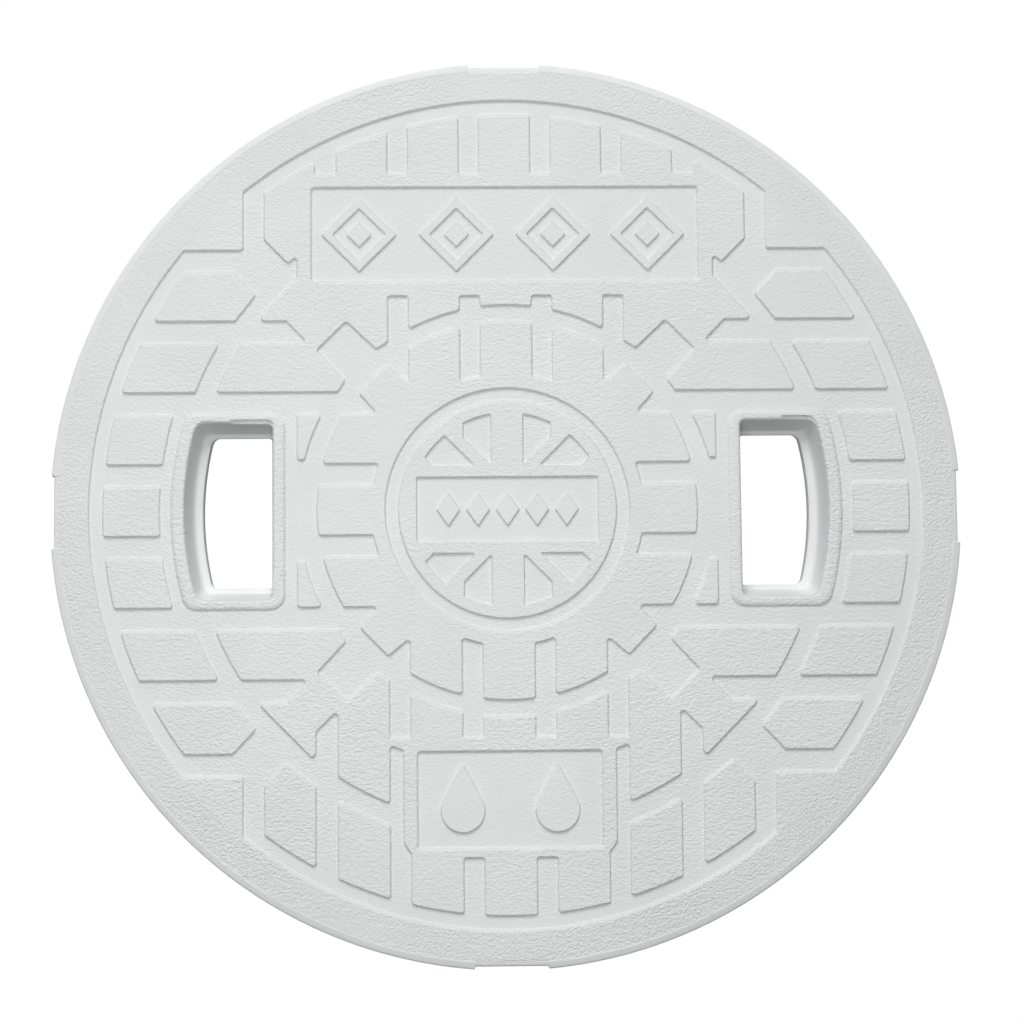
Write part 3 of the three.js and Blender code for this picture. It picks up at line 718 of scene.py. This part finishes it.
def add_relief(shell):
    """Walls of the tread, panels, figures and collars; returns their upper and lower rings."""
    islands = [whole(UPPER_WEB), whole(LOWER_WEB), *quarters(CORNER_BLOCK),
               *quarters(ring_block(OUTER_R, Y_OUT2, Y_IN3)),
               *quarters(ring_block(SIDE_R, Y_OUT1, Y_IN2)),
               *both(ring_block(SIDE_R, -Y_IN1, Y_IN1)), *quarters(WEDGE), *both(LOW_CORNER),
               *both(LOW_OUTER), SUN]
    # a row of four lozenge frames, each round a small lozenge
    row_x, row_y, size = (-64.6, -21.6, 21.2, 63.2), 122.6, 16.6
    opening = size - 3.4 * math.sqrt(2)
    figures = [lozenge(x, row_y, size, size) for x in row_x]
    figures += [lozenge(x, row_y, 5.6, 5.6) for x in row_x]
    figures += [drop(x, -131.2, radius=9.6, tip=20.5) for x in (-20.6, 20.6)]
    figures += [lozenge(x, 0.0, 5.2, 7.4) for x in (-26, -13, 0, 13, 26)]
    upper_panel, lower_panel, middle_panel = [box(*sizes) for sizes in PANELS]
    recesses = [middle_panel, *quarters(RECESS_UPRIGHT), *quarters(RECESS_SLANT)]
    recesses += [lozenge(x, row_y, opening, opening) for x in row_x]
    crisp = [(d * 0.75, z) for d, z in EDGE]
    deep = [(d * 1.3, z) for d, z in EDGE]
    # outlines, direction, corner radius, section, widening towards +Y
    families = [
        (islands, ccw, 1.25, EDGE, 1.25),
        (figures, ccw, 0.6, crisp, 0.0),
        ([rim_inner()], cw, 1.25, EDGE, 1.25),
        (recesses, cw, 0.6, crisp, 0.0),
        ([upper_panel, lower_panel], cw, 1.6, deep, 0.9)]
    walls = [(rounded(direct(outline), corner_r), section, ease)
             for outlines, direct, corner_r, section, ease in families for outline in outlines]
    walls += [(ccw(circle(BOSS_R, 90)), EDGE, 1.25), (cw(circle(SUN_HOLE_R, 96)), EDGE, 1.25)]
    collar = slot_outline(97.6, COLLAR_R, 43.3, 6.5, 6.5)
    walls += [(ccw(outline), COLLAR_EDGE, 0.0) for outline in both(collar)]
    pairs = [shell.wall(tidy(outline, tolerance=0.004), section, ease)
             for outline, section, ease in walls]
    return [high for high, _ in pairs], [low for _, low in pairs]


def add_slot(shell, on_left):
    """Returns the rings of the slot's mouth and throat."""
    weights = upper_edge_weights(outer_half=not on_left)
    step = LEFT_STEP if on_left else RIGHT_STEP
    rings = []
    for i, (z, *sizes) in enumerate(SLOT):
        pts = np.array(slot_outline(*sizes))
        heights = np.full(len(pts), z)
        if i < len(step):
            pts[:, 1] += step[i][0] * weights
            heights += step[i][1] * weights
        if on_left:
            pts[:, 0] *= -1
        else:
            pts, heights = pts[::-1], heights[::-1]
        rings.append(shell.ring(pts, heights))
    return shell.stack(rings)


def lid_outline(angles):
    """Outer radius of the lid at each angle: a circle with four short flats."""
    out = []
    for angle in angles:
        from_flat = (angle + math.pi / 4) % (math.pi / 2) - math.pi / 4
        cut = FLAT_D / math.cos(from_flat)
        across = abs(LID_R * math.sin(from_flat))
        blend = min(1.0, max(0.0, (across - (FLAT_W / 2 - 0.15)) / 0.3))
        blend = blend * blend * (3 - 2 * blend)
        out.append(min(LID_R, cut) * (1 - blend) + LID_R * blend)
    return np.array(out)


def add_skirt(shell):
    """Crest, outer wall, foot and the inner wall up to the channel; returns its end rings."""
    angles = list(round_angles(1.5))
    # more vertices where the flats run into the circle
    for k in range(4):
        for sign in (-1, 1):
            for across in (15.4, 15.62, 15.84, 16.0, 16.16, 16.38, 16.6):
                angle = k * math.pi / 2 + sign * math.asin(across / LID_R)
                angles.append(angle % (2 * math.pi))
    angles = np.array(sorted(set(round(float(angle), 6) for angle in angles)))
    angles = angles[np.concatenate([np.diff(angles) > 0.0006, [True]])]
    outer = lid_outline(angles)
    crest = [(3.3, 56.0), (3.0, 55.985), (2.7, 55.95), (2.3, 55.88), (0.9, 55.62),
             (0.5, 55.5), (0.22, 55.28), (0.06, 55.0), (0.0, 54.6)]
    foot = [(outer, 50.0), (outer - 0.02, 40.0), (np.minimum(outer, LID_R) - 0.65, 27.2),
            (np.minimum(outer, LID_R) - 0.8, 26.5), (np.minimum(outer, 199.6) - 1.1, 26.14),
            (np.minimum(outer - 1.7, 198.1), 26.0)]
    inner = [(196.3, 26.0), (195.75, 26.15), (195.45, 26.6), (195.35, 27.3), (195.05, 41.9),
             (194.95, 42.6), (194.7, 42.92), (194.4, CHANNEL_Z)]
    return shell.turned([(outer - d, z) for d, z in crest] + foot + inner, angles)


def rib_side(radius, degrees, side):
    """A point on one side of the radial rib at an angle."""
    return polar(radius, math.radians(degrees) + side * math.asin(RIB_HALF / radius))


def sector(inner_r, outer_r, first, last):
    """Area between two radii and the ribs at two angles in degrees."""
    return (arc(outer_r, rib_side(outer_r, first, 1), rib_side(outer_r, last, -1), 5.0)
            + arc(inner_r, rib_side(inner_r, last, -1), rib_side(inner_r, first, 1), 5.0))


def slot_cell():
    """The cell that wraps round one quarter of the slot wells."""
    inner_r, outer_r, well_x, well_y, well_r = 75.0, 148.1, 99.6, 42.2, 144.9
    low = RIB_HALF
    return tidy(arc(outer_r, at_y(outer_r, low), rib_side(outer_r, 30, -1), 5.0)
                + arc(inner_r, rib_side(inner_r, 30, -1), at_y(inner_r, low), 5.0)
                + [(well_x, low), (well_x, well_y), at_y(well_r, well_y)]
                + arc(well_r, at_y(well_r, well_y), at_y(well_r, low), 5.0))


def add_pockets(shell, cells, mouth_z, depth, borders_before, borders_after):
    """Sinks the cells into a downward face that has these borders."""
    section = [(d, mouth_z + h * depth) for d, h in POCKET]
    pairs = [shell.wall(tidy(cell, tolerance=0.01), section) for cell in cells]
    shell.fill(borders_before + [mouth for mouth, _ in pairs] + borders_after, up=False)
    shell.fill([roof for _, roof in pairs], up=False)


def build_lid():
    shell = Shell()
    high, low = add_relief(shell)
    throats = []
    for on_left in (False, True):
        mouth, throat = add_slot(shell, on_left)
        high.append(mouth)
        throats.append(throat)
    edge, channel_out = add_skirt(shell)
    shell.fill(high + [edge])
    shell.fill(low)

    # seat land and guide ring, inside the channel
    channel_in, core = shell.turned(
        [(185.55, CHANNEL_Z), (185.2, 42.92), (185.05, 42.6), (184.95, 42.15), (184.7, 41.87),
         (184.3, 41.8), (177.4, 41.8), (176.75, 41.66), (176.4, 41.25), (176.3, 40.6),
         (176.3, 33.6), (176.1, 33.0), (175.6, 32.62), (175.0, 32.5), (173.7, 32.5),
         (173.2, 32.62), (172.9, 33.0), (172.8, 33.5), (172.75, 39.0), (172.6, 39.6),
         (172.2, 39.93), (171.7, RIB_Z)], round_angles(2.0))

    cells = [circle(26.6, 48)]
    for k in range(12):
        first, last = 30 * k, 30 * k + 30
        cells.append(rounded(ccw(sector(30.0, 71.6, first, last)), 2.4))
        cells.append(rounded(ccw(sector(151.5, 171.0, first, last)), 2.4))
        if k not in (0, 5, 6, 11):
            cells.append(rounded(ccw(sector(75.0, 148.1, first, last)), 2.4))
    cells += [rounded(ccw(outline), 1.7) for outline in quarters(slot_cell())]
    add_pockets(shell, cells, RIB_Z, 1.0, [core], throats)
    cells = [rounded(ccw(sector(186.2, 193.7, 15 * k + 7.5, 15 * k + 22.5)), 2.0)
             for k in range(24)]
    add_pockets(shell, cells, CHANNEL_Z, 0.7, [channel_out, channel_in], [])
    return shell


add_piece(build_lid(), "lid_moulding", "lid_plastic", replaces="lid", rides="lid")


# ------------------------------------------------------------------ frame
UPSTAND_R = 177.0                  # inner wall of the frame's upstand
RIB_TIP_R = 168.3
FRAME_RIBS = 24
GAP_POINTS = 5                     # vertices on the wall between two ribs


def cushion_outline(inner_r, outer_r, degrees):
    half = math.radians(degrees / 2)
    return (arc(outer_r, polar(outer_r, -half), polar(outer_r, half), 2.5)
            + arc(inner_r, polar(inner_r, half), polar(inner_r, -half), 2.5))


def ribbed_outline():
    """Clockwise outline of the inner wall with its ribs, and 1 for each vertex on a rib."""
    root = math.asin((RIB_HALF + 0.9) / UPSTAND_R)
    half_rib = [polar(UPSTAND_R, -root), (UPSTAND_R - 0.25, -RIB_HALF - 0.42),
                (UPSTAND_R - 0.9, -RIB_HALF)]
    half_rib += [(RIB_TIP_R + 1.1 * (1 - math.cos(t)), -RIB_HALF + 1.1 * (1 - math.sin(t)))
                 for t in np.radians([90, 60, 30])]
    half_rib.append((RIB_TIP_R, -0.2))
    rib = half_rib + flip_y(half_rib)
    pitch = math.radians(360 / FRAME_RIBS)
    outline, on_rib = [], []
    for k in range(FRAME_RIBS):
        angle = math.radians(15 * k)
        outline += turned_by(rib, angle)
        outline += [polar(UPSTAND_R, angle + root + (pitch - 2 * root) * j / (GAP_POINTS + 1))
                    for j in range(1, GAP_POINTS + 1)]
        on_rib += [0.0] + [1.0] * (len(rib) - 2) + [0.0] * (1 + GAP_POINTS)
    return outline[::-1], np.array(on_rib[::-1])


def add_upstand_bore(shell):
    """Inner wall with ribs; returns the ring on its crown and the ring on the ledge."""
    outline, on_rib = ribbed_outline()
    rings = [shell.ring(offset(outline, d), z)
             for d, z in ((0.9, 25.0), (0.5, 25.06), (0.2, 25.3), (0.0, 25.9))]
    rings += [shell.ring(offset(outline, d * on_rib), z)
              for d, z in ((0.0, 30.7), (-0.12, 31.2), (-0.35, 31.45), (-0.6, 31.5))]
    top, ledge = shell.stack(rings[::-1])
    # flat tops close the ribs; the wall between them goes on up to the crown
    wall = []
    group = len(outline) // FRAME_RIBS
    for start in range(0, len(top), group):
        rib_top = top[start + GAP_POINTS:start + group]
        shell.faces.append(tuple(rib_top))
        for i in rib_top[1:-1]:
            shell.flat[i] = 1.0
        wall += top[start:start + GAP_POINTS] + [rib_top[0], rib_top[-1]]
    angles = np.array([math.atan2(shell.points[i][1], shell.points[i][0]) for i in wall])
    rings = [wall] + [shell.round_ring(radius, z, angles) for radius, z in (
        (UPSTAND_R, 39.3), (177.06, 39.65), (177.2, 39.9), (177.45, 40.0))]
    crown, _ = shell.stack(rings[::-1])
    return crown, ledge


def build_frame():
    shell = Shell()
    crown_in, ledge_out = add_upstand_bore(shell)
    full = round_angles(2.0)
    crown_out, flange_in = shell.turned(
        [(183.55, 40.0), (183.8, 39.9), (183.94, 39.65), (184.0, 39.3), (184.0, 26.2),
         (184.15, 25.5), (184.6, 25.1), (185.3, 25.0)], full)
    # pockets for the cushions
    section = [(-0.22, 40.0), (-0.06, 39.93), (0.0, 39.75), (0.02, 37.4), (0.15, 37.1), (0.4, 37.0)]
    tops, floors = [], []
    for angle in CUSHION_AT:
        outline = cw(rounded(ccw(turned_by(cushion_outline(178.2, 182.8, 9.25), angle)), 0.9))
        top, bottom = shell.wall(tidy(outline, tolerance=0.01), section)
        tops.append(top)
        floors.append(bottom)
    shell.fill([crown_out, crown_in] + tops)
    shell.fill(floors)
    flange_out, under_out = shell.turned(
        [(197.1, 25.0), (197.55, 24.88), (197.88, 24.55), (198.0, 24.1), (198.0, 20.8),
         (197.9, 20.35), (197.6, 20.08), (197.1, 20.0)], full)
    # screw holes through the flange
    section = [(-0.5, 25.0), (-0.2, 24.87), (0.0, 24.5), (0.0, 20.4), (-0.15, 20.1), (-0.4, 20.0)]
    tops, bottoms = [], []
    for angle in SCREW_AT:
        top, bottom = shell.wall(cw(circle(2.8, 28, *polar(SCREW_R, angle))), section)
        tops.append(top)
        bottoms.append(bottom)
    shell.fill([flange_out, flange_in] + tops)
    # spigot below the flange, and its bore up to the ledge
    under_in, ledge_in = shell.turned(
        [(172.2, 20.0), (171.5, 19.85), (171.1, 19.4), (171.0, 18.7), (170.95, 3.6), (170.7, 2.6),
         (169.9, 0.6), (169.5, 0.15), (169.0, 0.0), (166.9, 0.0), (166.4, 0.15), (166.1, 0.6),
         (166.0, 1.2), (166.0, 24.2), (166.1, 24.65), (166.4, 24.92), (166.85, 25.0)], full)
    shell.fill([under_out, under_in] + bottoms, up=False)
    shell.fill([ledge_out, ledge_in])
    return shell


add_piece(build_frame(), "frame_moulding", "frame_plastic", replaces="frame")


# ------------------------------------------------------------------ cushions, washers, screws
def build_cushion():
    shell = Shell()
    outline = rounded(ccw(cushion_outline(178.5, 182.5, 9.0)), 1.7)
    top, bottom = shell.wall(tidy(outline, tolerance=0.01), [
        (-1.3, 41.5), (-0.95, 41.45), (-0.5, 41.25), (-0.18, 40.9), (-0.02, 40.4), (0.0, 39.9),
        (0.0, 38.0), (-0.1, 37.6), (-0.4, 37.36), (-0.8, 37.3)])
    shell.fill([top])
    shell.fill([bottom], up=False)
    return shell


def build_washer():
    shell = Shell()
    first, last = shell.turned(
        [(2.75, 26.12), (2.93, 26.3), (4.82, 26.3), (5.0, 26.12), (5.0, 25.42), (4.88, 25.3),
         (2.87, 25.3), (2.75, 25.42)], round_angles(7.5))
    shell.strip(last, first)
    return shell


def add_thread(shell):
    """A tapered helical ridge seated in the shank."""
    pitch, z_start, z_end = 1.9, 7.0, 19.6
    turns = (z_end - z_start) / pitch
    steps = int(turns * 24)
    rings = []
    for i in range(steps + 1):
        angle = 2 * math.pi * turns * i / steps
        z = z_start + (z_end - z_start) * i / steps
        grow = min(1.0, i / 20, (steps - i) / 14)
        root = 1.25 + 0.35 * min(1.0, (z - z_start) / 2.2)
        crest = root + 0.15 + (0.60 if z > 9 else 0.3 + 0.3 * (z - z_start) / 2) * grow
        rings.append(shell.ring([polar(radius, angle) for radius in (root, crest, crest, root)],
                                [z - 0.42, z - 0.05, z + 0.05, z + 0.42]))
    shell.faces.append(tuple(rings[0]))
    shell.stack(rings)
    shell.faces.append(tuple(rings[-1][::-1]))


def build_screw():
    shell = Shell()
    seat = 26.6                    # underside of the pan head
    head = [(3.15, 3.3), (3.5, 3.2), (3.9, 2.85), (4.25, 2.2), (4.4, 1.4), (4.4, 0.35),
            (4.28, 0.08), (4.0, 0.0), (2.15, 0.0), (1.9, -0.15), (1.82, -0.6)]
    shank = [(1.78, 9.2), (1.3, 7.0), (0.55, 4.9), (0.2, 4.35)]
    top, tip = shell.turned([(radius, seat + h) for radius, h in head] + shank,
                            round_angles(10.0))
    shell.cap_below(tip)
    # cross recess: half width and half length of its arms
    wide, long = 0.62, 2.45
    cross = [(wide, wide), (wide, long), (-wide, long), (-wide, wide), (-long, wide),
             (-long, -wide), (-wide, -wide), (-wide, -long), (wide, -long), (wide, -wide),
             (long, -wide), (long, wide)]
    outline = cw(rounded(ccw(cross), 0.42, step=20))
    section = [(-0.12, 3.3), (-0.03, 3.25), (0.0, 3.1), (0.16, 1.9), (0.24, 1.8)]
    mouth, bottom = shell.wall(tidy(outline, tolerance=0.01), [(d, seat + h) for d, h in section])
    shell.fill([top, mouth])
    shell.fill([bottom])
    add_thread(shell)
    return shell


for i, angle in enumerate(CUSHION_AT, 1):
    add_piece(build_cushion(), f"cushion_pad_{i}", "rubber", replaces=f"cushion_{i}", turn=angle)
for i, angle in enumerate(SCREW_AT, 1):
    add_piece(build_screw(), f"pan_screw_{i}", "stainless", replaces=f"frame_screw_{i}",
              turn=angle, shift=(SCREW_R, 0.0))
    add_piece(build_washer(), f"flat_washer_{i}", "stainless", replaces=f"frame_washer_{i}",
              turn=angle, shift=(SCREW_R, 0.0))


# ------------------------------------------------------------------ floor, light, camera
def add_floor():
    """Matt to the light, plain white to the camera, and clear from below."""
    mesh = bpy.data.meshes.new("studio_floor")
    half = 6.0
    mesh.from_pydata([(-half, -half, 0), (half, -half, 0), (half, half, 0), (-half, half, 0)],
                     [], [(0, 1, 2, 3)])
    ob = bpy.data.objects.new("studio_floor", mesh)
    bpy.context.scene.collection.objects.link(ob)
    mat = Graph(bpy.data.materials.new("studio_floor"))
    path = mat.node("ShaderNodeLightPath")
    geometry = mat.node("ShaderNodeNewGeometry")
    matt = mat.node("ShaderNodeBsdfDiffuse", {"Color": (0.30, 0.30, 0.30, 1.0)})
    white = mat.node("ShaderNodeEmission", {"Color": WHITE, "Strength": 1.02})
    clear = mat.node("ShaderNodeBsdfTransparent")
    # under the set an even glow lights the underside and the inside
    glow = mat.node("ShaderNodeEmission", {"Color": WHITE, "Strength": 0.14})
    under_set = mat.ramp(mat.length(mat.place()), span=(150.0, 230.0), to=FALL)
    lit = mat.mix_shader(under_set, matt.outputs[0], glow.outputs[0])
    seen = mat.mix_shader(path.outputs["Is Camera Ray"], lit, white.outputs[0])
    surface = mat.mix_shader(geometry.outputs["Backfacing"], seen, clear.outputs[0])
    mat.node("ShaderNodeOutputMaterial", {"Surface": surface})
    mesh.materials.append(mat.owner)


def area_light(name, at, aim, size, power):
    light = bpy.data.lights.new(name, "AREA")
    light.shape = "RECTANGLE"
    light.size, light.size_y = size
    light.energy = power
    ob = bpy.data.objects.new(name, light)
    ob.location = at
    ob.rotation_mode = "QUATERNION"
    ob.rotation_quaternion = (Vector(aim) - Vector(at)).to_track_quat("-Z", "Y")
    bpy.context.scene.collection.objects.link(ob)
    ob.visible_camera = False


def add_world():
    """Soft surround, a little brighter low down and towards +Y."""
    world = bpy.data.worlds.new("studio")
    bpy.context.scene.world = world
    graph = Graph(world)

    def calc(op, first, second):
        return graph.math(op, first, second, third=None)

    coord = graph.node("ShaderNodeTexCoord").outputs["Generated"]
    parts = graph.node("ShaderNodeSeparateXYZ", {0: coord}).outputs
    base_level, fall_with_height, gain_with_y, gain_at_middle = 0.32, 0.11, 0.6, 0.95
    height = calc("ABSOLUTE", parts["Z"], 0.0)
    level = calc("SUBTRACT", base_level, calc("MULTIPLY", height, fall_with_height))
    towards_y = calc("ADD", calc("MULTIPLY", parts["Y"], gain_with_y), gain_at_middle)
    level = calc("MULTIPLY", level, towards_y)
    back = graph.node("ShaderNodeBackground", {"Strength": level})
    graph.node("ShaderNodeOutputWorld", {"Surface": back.outputs[0]})


def add_camera(at, aim, roll, lens):
    """A camera above the lid, with +Y upwards in its view before the roll."""
    back = (at - aim).normalized()
    right = (-back).cross(Vector((0, 1, 0))).normalized()
    up = right.cross(-back)
    x_axis = math.cos(roll) * right + math.sin(roll) * up
    y_axis = -math.sin(roll) * right + math.cos(roll) * up
    camera = bpy.data.cameras.new("camera")
    camera.sensor_fit = "HORIZONTAL"
    camera.sensor_width = 36.0
    camera.lens = lens
    camera.clip_start, camera.clip_end = 0.01, 50.0
    ob = bpy.data.objects.new("camera", camera)
    pose = Matrix((x_axis, y_axis, back)).transposed().to_4x4()
    pose.translation = at
    ob.matrix_world = pose
    bpy.context.scene.collection.objects.link(ob)
    bpy.context.scene.camera = ob


add_floor()
area_light("soft_key", at=(-0.25, 1.85, 1.61), aim=(0.0, 0.0, 0.05), size=(1.8, 1.1), power=39.5)
area_light("soft_top", at=(-0.08, -0.05, 0.72), aim=(-0.07, -0.04, 0.05), size=(0.38, 0.38),
           power=1.62)
# low strips, under the level of the tread, that only reach the sides of the set
STRIP_Z, STRIP_HEIGHT = 0.028, 0.045
for side, x, y, length, power in (("front", 0.0, -1.1, 1.6, 1.2), ("left", -1.1, -0.1, 1.0, 0.7),
                                  ("right", 1.1, -0.1, 1.0, 0.7)):
    area_light("low_" + side, at=(x, y, STRIP_Z), aim=(0.0, 0.0, STRIP_Z),
               size=(length, STRIP_HEIGHT), power=power)
add_world()
add_camera(at=Vector((-0.03038, -0.11986, 1.21274)), aim=Vector((0.0018964, -0.0013077, 0.056)),
           roll=-0.0102257, lens=93.2653125)
bpy.context.scene.view_settings.view_transform = "Standard"
bpy.context.scene.view_settings.look = "None"

bpy.context.view_layer.update()
